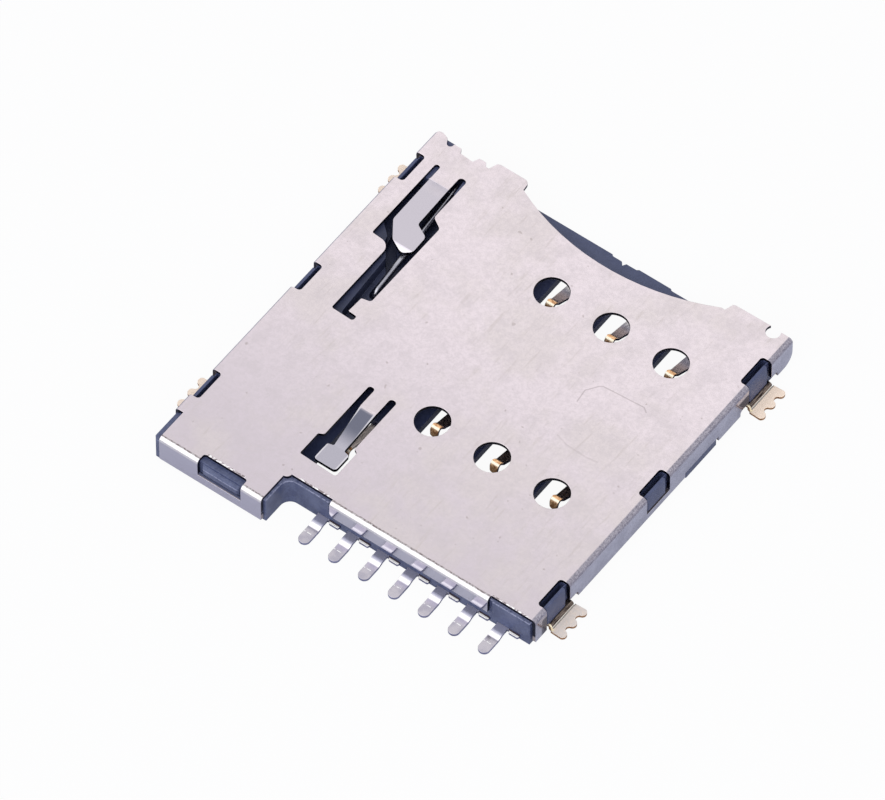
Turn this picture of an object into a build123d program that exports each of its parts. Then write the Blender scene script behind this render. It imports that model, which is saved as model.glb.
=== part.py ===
from build123d import *
import math
import os

os.makedirs("parts", exist_ok=True)

# Push-push socket for a 12 x 15 mm card, all lengths in mm.
# X runs across the socket, +Y towards the card mouth, Z up from the board.
# The origin is the middle of the footprint on the board.

# Card slot and housing walls
card_width = 12.0
card_side_gap = 0.05
slot_height = 0.85
floor_thickness = 0.35
bay_floor = 0.12
rail_width = 0.36
left_wall = 0.37
slider_width = 1.99
slide_gap = 0.03
corner_radius = 0.4

# Shell sheet
sheet = 0.15
side_gap = 0.03
bend_outside = 0.18
shell_length = 16.41
wall_clearance = 0.18
front_fold_width = 4.70
corner_open = 0.34
plate_setback = 1.51
corner_setback = 1.38
flange_setback = 1.28
flange_drop = 0.73

# Contacts
contact_pitch = 2.54
column_inset = 2.17
hole_radius = 0.645
rear_row_inset = 3.37
hole_row_pitch = 6.87
tip_row_pitch = 6.60
rear_tip_shift = -0.19
metal = 0.12
lead_lift = 0.10
lead_width = 0.28
front_lane = 0.86
rear_lane = 1.26
arm_reach = 2.4
arm_width = 0.68
arm_shift = 0.235
tip_width = 0.33
tip_shift = 0.08
tip_rise = 0.63
tail_shift = 0.19
tail_width = 0.44
tail_reach = 1.28
stub_reach = 0.13
bar_setback = 1.40
bar_depth = 0.75
detect_inset = 5.49
detect_setback = 3.80
detect_reach = 1.80
detect_width = 0.36
pad_height = 1.00
touch_gap = 0.01

# Overall places that follow from the sizes above
top = floor_thickness + slot_height
body_height = top + sheet
housing_width = left_wall + slider_width + 2 * slide_gap + card_width + 2 * card_side_gap + rail_width
shell_width = housing_width + 2 * (side_gap + sheet)
left = -shell_width / 2
right = shell_width / 2
front = -shell_length / 2
mouth = shell_length / 2
overrun = 1.0

housing_left = left + sheet + side_gap
housing_right = right - sheet - side_gap
housing_front = front + sheet + side_gap
slot_right = housing_right - rail_width
slot_left = slot_right - card_width - 2 * card_side_gap
bay_left = housing_left + left_wall
notch_x = left + front_fold_width
plate_front = front + plate_setback
flange_face = front + flange_setback
bar_face = front + bar_setback
card_stop = bar_face + bar_depth

columns = [slot_right - card_side_gap - column_inset - contact_pitch * k for k in (2, 1, 0)]
tail_pitch = contact_pitch / 2
tails = [columns[0] + tail_shift + tail_pitch * (k - 1) for k in range(7)]
rear_row = mouth - rear_row_inset
front_row = rear_row - hole_row_pitch
rear_tip = rear_row + rear_tip_shift
front_tip = rear_tip - tip_row_pitch
lead_middle = lead_lift + metal / 2
detect_x = left + detect_inset
detect_tip = front + detect_setback

# Side windows of the shell and the solder tabs below two of them
window_length = 1.32
window_depth = 0.42
window_setbacks = (2.81, 8.56, 14.47)
tab_windows = (window_setbacks[0], window_setbacks[2])
strap_height = 0.45
tab_setbacks = (2.94, 14.42)
tab_notches = ((2.15, 3.96), (13.33, 15.50))
tab_web = 1.30
tab_width = 1.46
tab_reach = 0.65
tab_root = 0.33
tab_lobe = 0.32
tab_lobe_pitch = (tab_width - tab_lobe) / 2
tab_lobe_depth = 0.12
tab_valley_depth = 0.09

# Push-push mechanism in the bay on the left
travel = 4.2
block_inset = 1.91
slider_end_gap = 0.10
seat_setback = 0.90
arm_room = 1.45
arm_thickness = 0.80
arm_length = 1.35
spring_face_step = 1.90
slider_lift = 0.03
slider_top_gap = 0.08
deck_drop = 0.56
rim_drop = 0.32
rim_width = 0.11
groove_rise = 0.22
groove_width = 0.40
wire_radius = 0.11
wire_lift = 0.035
pivot_inset = 1.21
pivot_x = bay_left + 1.26
follower_reach = 5.50
follower_offset = 0.48
follower_swing = -0.22
pin_clearance = 0.03
spring_wire = 0.13
spring_diameter = 0.84
spring_turns = 7
spring_x = bay_left + 0.52
spring_lift = 0.08
peg_radius = 0.20
peg_length = 0.50

block_face = mouth - block_inset
slider_high = top - slider_top_gap
slider_low = top - deck_drop
rim_top = top - rim_drop
groove_floor = bay_floor + groove_rise
wire_middle = slider_low + wire_lift + wire_radius
spring_middle = bay_floor + spring_lift + spring_diameter / 2
tip_height = floor_thickness + tip_rise
pivot_y = mouth - pivot_inset
follower_x = pivot_x + follower_offset
follower_y = pivot_y - follower_reach
seat_y = front + seat_setback
arm_front = front + arm_room + travel + slider_end_gap
arm_back = arm_front + arm_thickness
spring_face = arm_front + spring_face_step


def bent_strip(points, bend, width, plane):
    """A strip of the contact metal, bent along a side path and equally wide all along."""
    with BuildPart() as strip:
        with BuildSketch(plane):
            with BuildLine():
                FilletPolyline(*points, radius=bend)
            trace(line_width=metal)
        extrude(amount=width / 2, both=True)
    return strip.part


def region(x_span, y_span, z_span):
    """A plain block given by its spans, used to open or close a part of a piece."""
    with BuildPart() as block:
        with BuildSketch(Plane.XY.offset(z_span[0])):
            with Locations(((x_span[0] + x_span[1]) / 2, (y_span[0] + y_span[1]) / 2)):
                Rectangle(x_span[1] - x_span[0], y_span[1] - y_span[0])
        extrude(amount=z_span[1] - z_span[0])
    return block.part


# Contact: tail, lead through the floor, sprung arm and tip, one strip of metal
arm_root_length = 0.30


def sprung_arm(arm_x, tip_x, root_y, tip_y, peak, width, tip_width):
    """Arm that rises and narrows towards the front, its tip bent down and rounded."""
    tip_run = 0.15
    tip_drop = 0.36
    path = [
        (root_y + arm_root_length, lead_middle),
        (root_y, lead_middle),
        (tip_y, peak),
        (tip_y - tip_run, peak - tip_drop),
    ]
    strip = bent_strip(path, 0.16, 2 * width, Plane.YZ.offset(arm_x))
    neck_x = (arm_x + tip_x) / 2
    neck_y = tip_y + 0.19
    shoulder_y = tip_y + 0.09
    end_y = tip_y - tip_run - 0.04
    corner_y = end_y + 0.08
    with BuildPart() as arm:
        add(strip)
        with BuildSketch():
            with BuildLine():
                Polyline(
                    (tip_x - tip_width / 2, corner_y),
                    (tip_x - tip_width / 2, shoulder_y),
                    (neck_x - tip_width / 2, neck_y),
                    (arm_x - width / 2, root_y),
                    (arm_x - width / 2, root_y + arm_root_length),
                    (arm_x + width / 2, root_y + arm_root_length),
                    (arm_x + width / 2, root_y),
                    (neck_x + tip_width / 2, neck_y),
                    (tip_x + tip_width / 2, shoulder_y),
                    (tip_x + tip_width / 2, corner_y),
                )
                ThreePointArc(
                    (tip_x + tip_width / 2, corner_y),
                    (tip_x, end_y),
                    (tip_x - tip_width / 2, corner_y),
                )
            make_face()
        extrude(amount=top, mode=Mode.INTERSECT)
    return arm.part


def solder_tail(tail_x):
    """Foot that leaves the front bar, steps down to the board and ends round."""
    tail_end = bar_face - tail_reach
    path = [
        (bar_face + 0.2, lead_middle),
        (bar_face - 0.30, lead_middle),
        (bar_face - 0.56, metal / 2),
        (tail_end, metal / 2),
    ]
    strip = bent_strip(path, 0.12, 2 * tail_width, Plane.YZ.offset(tail_x))
    with BuildPart() as tail:
        add(strip)
        with BuildSketch():
            with Locations((tail_x, (bar_face + 0.2 + tail_end + tail_width / 2) / 2)):
                Rectangle(tail_width, bar_face + 0.2 - tail_end - tail_width / 2)
            with Locations((tail_x, tail_end + tail_width / 2)):
                Circle(tail_width / 2)
        extrude(amount=top, mode=Mode.INTERSECT)
    return tail.part


def contact(label, tail_x, lane_x, arm):
    """One contact: the arm part is joined to its tail by a lead that runs in the floor."""
    arm_x, tip_x, root_y, tip_y, peak, width, tip_width = arm
    jog_y = bar_face + 0.75
    plate_left = tail_x - 0.24
    plate_right = tail_x + 0.72
    tail = solder_tail(tail_x)
    spring_arm = sprung_arm(*arm)
    with BuildPart() as piece:
        with BuildSketch(Plane.XY.offset(lead_lift)):
            with BuildLine():
                if abs(lane_x - tail_x) < lead_width / 2:
                    Line((tail_x, bar_face + 0.1), (tail_x, root_y + arm_root_length))
                else:
                    Polyline(
                        (tail_x, bar_face + 0.1),
                        (tail_x, jog_y),
                        (lane_x, jog_y + abs(lane_x - tail_x)),
                        (lane_x, root_y + arm_root_length),
                    )
            trace(line_width=lead_width)
            with BuildLine():
                Line((lane_x, root_y + arm_root_length / 2), (arm_x, root_y + arm_root_length / 2))
            trace(line_width=arm_root_length)
            with Locations(((plate_left + plate_right) / 2, bar_face + 0.2)):
                Rectangle(plate_right - plate_left, 0.44)
            with Locations((plate_right - 0.21, bar_face)):
                RectangleRounded(0.42, 2 * stub_reach, 0.07)
        extrude(amount=metal)
        add(tail)
        add(spring_arm)
    piece.part.label = label
    return piece.part


front_names = ("contact_c1", "contact_c2", "contact_c3")
rear_names = ("contact_c5", "contact_c6", "contact_c7")


def contact_arm(column, tip_y):
    """Arm data of one card contact."""
    return (
        column + arm_shift,
        column + tip_shift,
        tip_y + arm_reach,
        tip_y,
        tip_height,
        arm_width,
        tip_width,
    )


contacts = []
for index, column in enumerate(columns):
    front_tail = tails[1 + 2 * index]
    rear_tail = tails[2 + 2 * index]
    front_arm = contact_arm(column, front_tip)
    rear_arm = contact_arm(column, rear_tip)
    contacts.append(contact(front_names[index], front_tail, column + front_lane, front_arm))
    contacts.append(contact(rear_names[index], rear_tail, column + rear_lane, rear_arm))

# Card detect contact, its tip lies just under the front tongue of the shell
detect_arm = (
    detect_x,
    detect_x,
    detect_tip + detect_reach,
    detect_tip,
    pad_height - sheet - touch_gap - metal / 2,
    detect_width,
    0.30,
)
detect_contact = contact("detect_contact", tails[0], tails[0], detect_arm)


def solder_tab(label, side, tab_y):
    """Board tab: a root in the floor, a short web outside the shell and a flat scalloped foot."""
    face = side * housing_right
    root_x = face - side * tab_root
    web_x = side * (right + 0.02)
    shoulder_x = side * (right + 0.09)
    tip_x = side * (right + tab_reach)
    base_x = tip_x - side * tab_lobe_depth
    path = [
        (root_x, lead_middle + 0.07),
        (web_x, lead_middle + 0.07),
        (web_x, metal / 2),
        (tip_x, metal / 2),
    ]
    strip = bent_strip(path, 0.065, 2 * tab_width, Plane.XZ.offset(-tab_y))
    low_side = tab_y - tab_width / 2
    high_side = tab_y + tab_width / 2
    with BuildPart() as tab:
        add(strip)
        with BuildSketch():
            with Locations(((root_x + shoulder_x) / 2, tab_y)):
                Rectangle(abs(shoulder_x - root_x), tab_web)
            with BuildLine():
                start = (base_x, low_side)
                for place in (-1, 0, 1):
                    lobe_y = tab_y + place * tab_lobe_pitch
                    end = (base_x, lobe_y + tab_lobe / 2)
                    ThreePointArc(start, (tip_x, lobe_y), end)
                    if place < 1:
                        start = (base_x, lobe_y + tab_lobe_pitch - tab_lobe / 2)
                        valley = (base_x - side * tab_valley_depth, lobe_y + tab_lobe_pitch / 2)
                        ThreePointArc(end, valley, start)
                Polyline(
                    (base_x, high_side),
                    (shoulder_x, high_side - 0.02),
                    (shoulder_x, low_side + 0.02),
                    (base_x, low_side),
                )
            make_face()
        extrude(amount=top, mode=Mode.INTERSECT)
    tab.part.label = label
    return tab.part


solder_tabs = []
for place_name, setback in zip(("front", "rear"), tab_setbacks):
    for side_name, side in (("left", -1), ("right", 1)):
        name = f"solder_tab_{place_name}_{side_name}"
        solder_tabs.append(solder_tab(name, side, front + setback))

# Cam slider: spring face and card arm in front, heart-shaped track in a low deck behind
slider_left = bay_left + slide_gap
slider_right = slot_left - slide_gap
slider_bottom = bay_floor + slider_lift
slider_back = block_face - slider_end_gap
nose_left = spring_x + spring_diameter / 2 + 0.10
arm_right = slot_left + arm_length
arm_bottom = floor_thickness + 0.05
track_end = follower_y + travel
track_exit_x = follower_x + follower_swing
deck_front = mouth - 8.30
track = [
    (follower_x, follower_y),
    (track_exit_x, track_end),
    (track_exit_x - 0.35, track_end - 0.40),
    (track_exit_x - 0.72, track_end - 0.02),
    (track_exit_x - 0.90, track_end - 0.90),
    (track_exit_x - 0.52, track_end - 2.30),
    (follower_x - 0.09, follower_y + 1.10),
]

with BuildPart() as cam_slider:
    with BuildSketch(Plane.XY.offset(slider_bottom)):
        with BuildLine():
            Polyline(
                (slider_left, spring_face),
                (nose_left, spring_face),
                (nose_left, arm_front),
                (slider_right, arm_front),
                (slider_right, slider_back),
                (slider_left, slider_back),
                close=True,
            )
        make_face()
    extrude(amount=slider_high - slider_bottom)
    add(region((slider_right - 0.2, arm_right), (arm_front, arm_back), (arm_bottom, slider_high)))
    fillet(cam_slider.edges().filter_by(Axis.Z).group_by(Axis.X)[-1], radius=0.15)
    with BuildSketch(Plane.XY.offset(slider_low)):
        with BuildLine():
            FilletPolyline(
                (slider_right + overrun, deck_front),
                (follower_x - 0.28, deck_front),
                (follower_x - 0.48, follower_y + 1.60),
                (slider_left - 0.1, follower_y + 2.75),
                (slider_left - 0.1, slider_back + overrun),
                (slider_right + overrun, slider_back + overrun),
                radius=[0, 0.15, 1.2, 0, 0, 0],
                close=True,
            )
        make_face()
    extrude(amount=top, mode=Mode.SUBTRACT)
    add(region((slider_right - rim_width, slider_right), (deck_front, slider_back), (slider_low, rim_top)))
    with BuildSketch(Plane.XY.offset(groove_floor)):
        for start, end in zip(track, track[1:]):
            with BuildLine():
                Line(start, end)
            trace(line_width=groove_width)
        with Locations(track):
            Circle(groove_width / 2)
    extrude(amount=top, mode=Mode.SUBTRACT)
    with BuildSketch(Plane.XZ.offset(-spring_face)):
        with Locations((spring_x, spring_middle)):
            Circle(peg_radius)
    extrude(amount=peg_length)
cam_slider.part.label = "cam_slider"

# Follower pin: wire in 12 flats with both ends turned down, one in the housing, one in the track
pin_length = math.hypot(follower_offset, follower_reach)
pin_plane = Plane(
    origin=(pivot_x, pivot_y, 0),
    x_dir=(follower_offset, -follower_reach, 0),
    z_dir=(-follower_reach, -follower_offset, 0),
)
pin_foot = groove_floor + 0.05
with BuildPart() as follower_pin:
    with BuildLine(pin_plane) as pin_path:
        FilletPolyline(
            (0, pin_foot),
            (0, wire_middle),
            (pin_length, wire_middle),
            (pin_length, pin_foot),
            radius=[0.16, 0.25],
        )
    with BuildSketch(Plane(origin=(pivot_x, pivot_y, pin_foot), z_dir=(0, 0, 1))):
        RegularPolygon(wire_radius, 12)
    sweep(path=pin_path.line)
follower_pin.part.label = "follower_pin"

# Eject spring between the front seat and the slider
spring_clear = spring_wire / 2 + 0.01
spring_start = seat_y + spring_clear
spring_length = spring_face - spring_clear - spring_start
with BuildPart() as eject_spring:
    with BuildLine() as coil:
        Helix(
            pitch=spring_length / spring_turns,
            height=spring_length,
            radius=(spring_diameter - spring_wire) / 2,
            center=(spring_x, spring_start, spring_middle),
            direction=(0, 1, 0),
        )
    with BuildSketch(Plane(origin=coil.line @ 0, z_dir=coil.line % 0)):
        RegularPolygon(spring_wire / 2, 4)
    sweep(path=coil.line, is_frenet=True)
eject_spring.part.label = "eject_spring"

# Shell: folded tray first, then its cut-outs, then the two bent tongues
finger_half_width = 4.24
finger_centre = left + 8.23
finger_end = mouth - 0.41
finger_bottom = mouth - 1.40


def folded_tray(inset, height, edge_radius):
    """Closed block with the shell's outline, inset by the sheet for the inside."""
    step_x = notch_x + 1.0
    with BuildPart() as block:
        with BuildSketch():
            with BuildLine():
                Polyline(
                    (left + inset, front + inset),
                    (step_x - inset, front + inset),
                    (step_x - inset, flange_face + inset),
                    (right - inset, flange_face + inset),
                    (right - inset, mouth + overrun + inset),
                    (left + inset, mouth + overrun + inset),
                    close=True,
                )
            make_face()
        extrude(amount=height)
        fold_lines = block.edges().group_by(Axis.Z)[-1].sort_by(Axis.Y)[:-1]
        fillet(fold_lines.filter_by(Axis.X) + fold_lines.filter_by(Axis.Y), radius=edge_radius)
    return block.part


def mouth_waste():
    """All that is cut away beyond the mouth edge, with its notches and the finger cut."""
    far = mouth + 2 * overrun
    with BuildPart() as waste:
        with BuildSketch():
            with BuildLine():
                Line((left - 0.5, mouth - 0.22), (left, mouth - 0.22))
                ThreePointArc((left, mouth - 0.22), (left + 0.10, mouth - 0.12), (left + 0.33, mouth - 0.09))
                Line((left + 0.33, mouth - 0.09), (left + 0.53, mouth - 0.16))
                Line((left + 0.53, mouth - 0.16), (left + 0.65, mouth - 0.36))
                ThreePointArc((left + 0.65, mouth - 0.36), (left + 0.79, mouth - 0.43), (left + 0.88, mouth - 0.26))
                Polyline(
                    (left + 0.88, mouth - 0.26),
                    (left + 1.20, mouth - 0.25),
                    (left + 1.30, mouth - 0.44),
                    (left + 1.85, mouth - 0.48),
                    (left + 1.96, mouth - 0.23),
                    (left + 2.24, mouth - 0.22),
                    (left + 2.36, mouth - 0.38),
                    (left + 2.48, mouth - 0.38),
                    (left + 2.60, mouth - 0.05),
                    (left + 2.72, mouth),
                    (left + 3.76, mouth),
                )
                ThreePointArc((left + 3.76, mouth), (left + 3.91, mouth - 0.06), (left + 3.97, mouth - 0.21))
                Line((left + 3.97, mouth - 0.21), (finger_centre - finger_half_width, finger_end))
                ThreePointArc(
                    (finger_centre - finger_half_width, finger_end),
                    (finger_centre, finger_bottom),
                    (finger_centre + finger_half_width, finger_end),
                )
                Polyline(
                    (finger_centre + finger_half_width, finger_end),
                    (right - 2.63, mouth - 0.42),
                    (right - 2.52, mouth - 0.07),
                    (right - 2.40, mouth - 0.04),
                    (right - 0.95, mouth - 0.02),
                )
                ThreePointArc(
                    (right - 0.95, mouth - 0.02),
                    (right - 0.67, mouth - 0.46),
                    (right - 0.50, mouth - 0.05),
                )
                Polyline(
                    (right - 0.50, mouth - 0.05),
                    (right + 0.5, mouth - 0.05),
                    (right + 0.5, far),
                    (left - 0.5, far),
                    (left - 0.5, mouth - 0.22),
                )
            make_face()
        extrude(amount=body_height + overrun)
    return waste.part


def rounded_face(outline):
    """Face of a closed outline given as x, y and corner radius."""
    corners = [(x, y) for x, y, r in outline]
    radii = [r for x, y, r in outline]
    with BuildSketch() as face:
        with BuildLine():
            FilletPolyline(*corners, radius=radii, close=True)
        make_face()
    return face.sketch


def tongue(path, bend, outline):
    """Strip of the shell bent along a side path and cut to a plan outline."""
    with BuildPart() as piece:
        with BuildSketch(Plane.YZ):
            with BuildLine():
                FilletPolyline(*path, radius=bend)
            trace(line_width=sheet)
        extrude(amount=shell_width, both=True)
        with BuildSketch():
            add(rounded_face(outline))
        extrude(amount=2 * body_height, mode=Mode.INTERSECT)
    return piece.part


def opening(outline):
    """Hole in the top plate."""
    with BuildPart() as piece:
        with BuildSketch(Plane.XY.offset(top - 0.05)):
            add(rounded_face(outline))
        extrude(amount=sheet + 0.1)
    return piece.part


# Cam tongue: presses on the follower pin from above with its lip
plate_middle = top + sheet / 2
cam_bend = mouth - 1.97
cam_tip = mouth - 4.98
cam_lip = 0.27
cam_lip_drop = 0.12
cam_tip_height = wire_middle + wire_radius + touch_gap + sheet / 2
cam_left = left + 1.10
cam_right = left + 1.92
cam_tongue = tongue(
    [
        (cam_bend + 0.30, plate_middle),
        (cam_bend, plate_middle),
        (cam_tip + cam_lip, cam_tip_height + cam_lip_drop),
        (cam_tip - 0.05, cam_tip_height),
    ],
    0.20,
    [
        (cam_left, cam_bend + 0.20, 0),
        (left + 1.06, mouth - 4.03, 0.25),
        (left + 1.55, mouth - 4.72, 0.40),
        (left + 2.10, cam_tip, 0.30),
        (left + 2.46, mouth - 4.75, 0.20),
        (left + 2.46, mouth - 4.00, 0.22),
        (left + 1.91, mouth - 3.72, 0.15),
        (cam_right, cam_bend + 0.20, 0),
    ],
)
cam_opening = opening(
    [
        (left + 0.89, mouth - 1.31, 0.10),
        (left + 0.89, mouth - 5.00, 0.08),
        (left + 1.71, mouth - 5.06, 0.42),
        (left + 1.71, mouth - 8.42, 0.08),
        (left + 2.64, mouth - 8.45, 0.10),
        (left + 2.64, mouth - 8.22, 0.08),
        (left + 2.27, mouth - 8.20, 0.02),
        (left + 2.30, mouth - 7.50, 0.06),
        (left + 2.66, mouth - 7.42, 0.12),
        (left + 2.68, mouth - 3.50, 0.17),
        (left + 2.23, mouth - 3.22, 0.17),
        (left + 2.22, mouth - 1.28, 0.14),
        (cam_right, mouth - 1.28, 0.14),
        (cam_right, cam_bend, 0),
        (cam_left, cam_bend, 0),
        (cam_left, mouth - 1.31, 0.10),
    ]
)

# Switch tongue: its pad rests on the tip of the card detect contact
switch_bend = front + 5.25
pad_back = front + 3.55
pad_front = front + 2.71
switch_left = left + 5.02
switch_right = left + 5.69
switch_tongue = tongue(
    [
        (switch_bend + 0.30, plate_middle),
        (switch_bend, plate_middle),
        (pad_back, pad_height - sheet / 2),
        (pad_front - 0.10, pad_height - sheet / 2),
    ],
    0.30,
    [
        (switch_left, switch_bend + 0.20, 0),
        (switch_left, switch_bend, 0),
        (left + 5.15, pad_back, 0.05),
        (left + 4.91, pad_back - 0.05, 0.10),
        (left + 4.91, pad_front, 0.12),
        (left + 5.85, pad_front, 0.15),
        (left + 5.85, pad_back - 0.05, 0.10),
        (left + 5.60, pad_back, 0.05),
        (switch_right, switch_bend, 0),
        (switch_right, switch_bend + 0.20, 0),
    ],
)
switch_opening = opening(
    [
        (left + 4.77, front + 6.09, 0.11),
        (left + 4.77, front + 3.53, 0.12),
        (left + 4.57, front + 3.43, 0.06),
        (left + 4.57, front + 2.40, 0.06),
        (left + 6.14, front + 2.33, 0.10),
        (left + 6.14, front + 3.55, 0.12),
        (left + 5.97, front + 3.64, 0.05),
        (left + 5.97, front + 6.08, 0.13),
        (switch_right, front + 6.08, 0.13),
        (switch_right, switch_bend, 0),
        (switch_left, switch_bend, 0),
        (switch_left, front + 6.09, 0.11),
    ]
)

tray_outside = folded_tray(0, body_height, bend_outside)
tray_inside = folded_tray(sheet, top, bend_outside - sheet)
mouth_cut = mouth_waste()
foot_relief = 0.42
foot_start = front + 10.12
foot_end = front + 12.05
back_corner = 0.50
wall_end = mouth - 0.05
flange_left = left + 6.65
flange_right = right - 1.88
flange_bottom = body_height - flange_drop
flange_corner = 0.20
notch_corner = 0.20
front_window_x = left + 2.91
front_window_length = 1.84
front_window_bottom = 0.58

with BuildPart() as shell:
    add(tray_outside)
    add(tray_inside, mode=Mode.SUBTRACT)
    add(mouth_cut, mode=Mode.SUBTRACT)
    # Lower edge of the walls with the notches over the tabs and the foot
    with BuildSketch(Plane.YZ):
        with Locations((0, wall_clearance / 2 - overrun / 2)):
            Rectangle(2 * shell_length, wall_clearance + overrun)
        with Locations(((foot_start + foot_end) / 2, foot_relief / 2)):
            Rectangle(foot_end - foot_start, foot_relief)
        for notch_start, notch_end in tab_notches:
            with Locations((front + (notch_start + notch_end) / 2, 0)):
                RectangleRounded(notch_end - notch_start, 2 * strap_height, 0.15)
        with BuildLine():
            Line((wall_end - back_corner, wall_clearance), (wall_end - back_corner, -overrun))
            Line((wall_end - back_corner, -overrun), (mouth + overrun, -overrun))
            Line((mouth + overrun, -overrun), (mouth + overrun, wall_clearance + back_corner))
            Line((mouth + overrun, wall_clearance + back_corner), (wall_end, wall_clearance + back_corner))
            ThreePointArc(
                (wall_end, wall_clearance + back_corner),
                (wall_end - 0.293 * back_corner, wall_clearance + 0.293 * back_corner),
                (wall_end - back_corner, wall_clearance),
            )
        make_face()
    extrude(amount=shell_width, both=True, mode=Mode.SUBTRACT)
    # Open left front corner, notch beside the front wall and the folded flange
    add(region((left - 1, left + corner_open), (front - 1, front + corner_setback), (-1, 2)), mode=Mode.SUBTRACT)
    with BuildSketch(Plane.XZ.offset(-plate_front)):
        with BuildLine():
            Polyline(
                (flange_left, flange_bottom + flange_corner),
                (flange_left, body_height + 1),
                (notch_x, body_height + 1),
                (notch_x, -1),
                (right + 1, -1),
                (right + 1, body_height + 1),
                (flange_right, body_height + 1),
                (flange_right, flange_bottom),
                (flange_left + flange_corner, flange_bottom),
            )
            ThreePointArc(
                (flange_left + flange_corner, flange_bottom),
                (flange_left + 0.293 * flange_corner, flange_bottom + 0.293 * flange_corner),
                (flange_left, flange_bottom + flange_corner),
            )
        make_face()
    extrude(amount=plate_setback + 1, mode=Mode.SUBTRACT)
    # Snap windows on both sides and in the front wall
    for setback in window_setbacks:
        window_bottom = 0 if setback in tab_windows else strap_height
        with BuildSketch(Plane.XY.offset(window_bottom)):
            with Locations((left, front + setback), (right, front + setback)):
                RectangleRounded(2 * window_depth, window_length, 0.13)
        extrude(amount=2 * body_height, mode=Mode.SUBTRACT)
    with BuildSketch(Plane.XY.offset(front_window_bottom)):
        with Locations((front_window_x, front)):
            RectangleRounded(front_window_length, 2 * window_depth, 0.10)
    extrude(amount=2 * body_height, mode=Mode.SUBTRACT)
    # Rounded inner corner of the notch beside the front wall
    with BuildSketch(Plane.XY.offset(top)):
        with BuildLine():
            Line((notch_x - 0.05, plate_front + 0.05), (notch_x + notch_corner, plate_front + 0.05))
            Line((notch_x + notch_corner, plate_front + 0.05), (notch_x + notch_corner, plate_front))
            RadiusArc(
                (notch_x + notch_corner, plate_front),
                (notch_x, plate_front - notch_corner),
                notch_corner,
            )
            Polyline(
                (notch_x, plate_front - notch_corner),
                (notch_x - 0.05, plate_front - notch_corner),
                (notch_x - 0.05, plate_front + 0.05),
            )
        make_face()
    extrude(amount=sheet)
    # Round holes over the contacts
    with BuildSketch(Plane.XY.offset(top - 0.05)):
        with Locations([(column, row) for column in columns for row in (front_row, rear_row)]):
            Circle(hole_radius)
    extrude(amount=sheet + 0.1, mode=Mode.SUBTRACT)
    add(cam_opening, mode=Mode.SUBTRACT)
    add(switch_opening, mode=Mode.SUBTRACT)
    add(cam_tongue)
    add(switch_tongue)
shell.part.label = "shell"

# Housing: moulded round the contacts and tabs
housing_back = mouth - 0.52
nub_end = mouth - 0.15
nub_right = left + 0.88
lip_end = mouth - 0.19
lip_step = mouth - 0.25
block_side = notch_x + 0.09
corner_block_left = left + 0.10
corner_block_front = front + 0.12
corner_block_right = left + corner_open - 0.05
corner_block_back = front + corner_setback - 0.03
arm_wall = front + arm_room
flange_recess = flange_face + sheet + 0.02
arc_middle = 0.293 * corner_radius
boss_margin = 0.08
boss_proud = 0.04
boss_top = body_height - 0.13
boss_slope_start = boss_top - 0.38
boss_top_setback = 0.11
front_boss_top = body_height - 0.27
pocket_outer = 0.23
pocket_inner = 0.45
pocket_floor = 0.65
foot_top = foot_relief - 0.04


def side_boss(side, setback, bottom):
    """Wedge on the side of the housing that fills a window of the shell."""
    boss_start = front + setback - window_length / 2 + boss_margin
    boss_end = front + setback + window_length / 2 - 2 * boss_margin
    with BuildPart() as boss:
        with BuildSketch(Plane.XZ.offset(-boss_end)):
            with BuildLine():
                Polyline(
                    (side * (right - pocket_outer), bottom),
                    (side * (right - boss_proud), bottom),
                    (side * (right - boss_proud), boss_slope_start),
                    (side * (right - boss_top_setback), boss_top),
                    (side * (right - pocket_outer), boss_top),
                    close=True,
                )
            make_face()
        extrude(amount=boss_end - boss_start)
        outer_edges = boss.edges().filter_by(Axis.Z).sort_by(Axis.X)
        chamfer(outer_edges[-2:] if side > 0 else outer_edges[:2], length=0.06)
    return boss.part


side_bosses = []
pockets = []
for setback in window_setbacks:
    boss_bottom = metal + lead_lift + 0.10 if setback in tab_windows else strap_height + 0.05
    y_span = (front + setback - window_length / 2, front + setback + window_length / 2)
    for side in (-1, 1):
        side_bosses.append(side_boss(side, setback, boss_bottom))
        pocket_x = sorted((side * (right - pocket_inner), side * (right - pocket_outer)))
        rim_x = sorted((side * (right - pocket_outer - 0.01), side * right))
        pockets.append(region(pocket_x, y_span, (pocket_floor, top + 1)))
        pockets.append(region(rim_x, y_span, (boss_top, top + 1)))
front_boss_bottom = front_window_bottom + boss_margin
front_boss_face = front + boss_proud
with BuildPart() as front_boss:
    with BuildSketch(Plane.XZ.offset(-front_boss_face)):
        with Locations((front_window_x, (front_boss_top + front_boss_bottom) / 2)):
            Rectangle(front_window_length - 3 * boss_margin, front_boss_top - front_boss_bottom)
    extrude(amount=-housing_front - 0.10 + front_boss_face)
    chamfer(front_boss.faces().sort_by(Axis.Y)[0].edges(), length=0.09)

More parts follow.
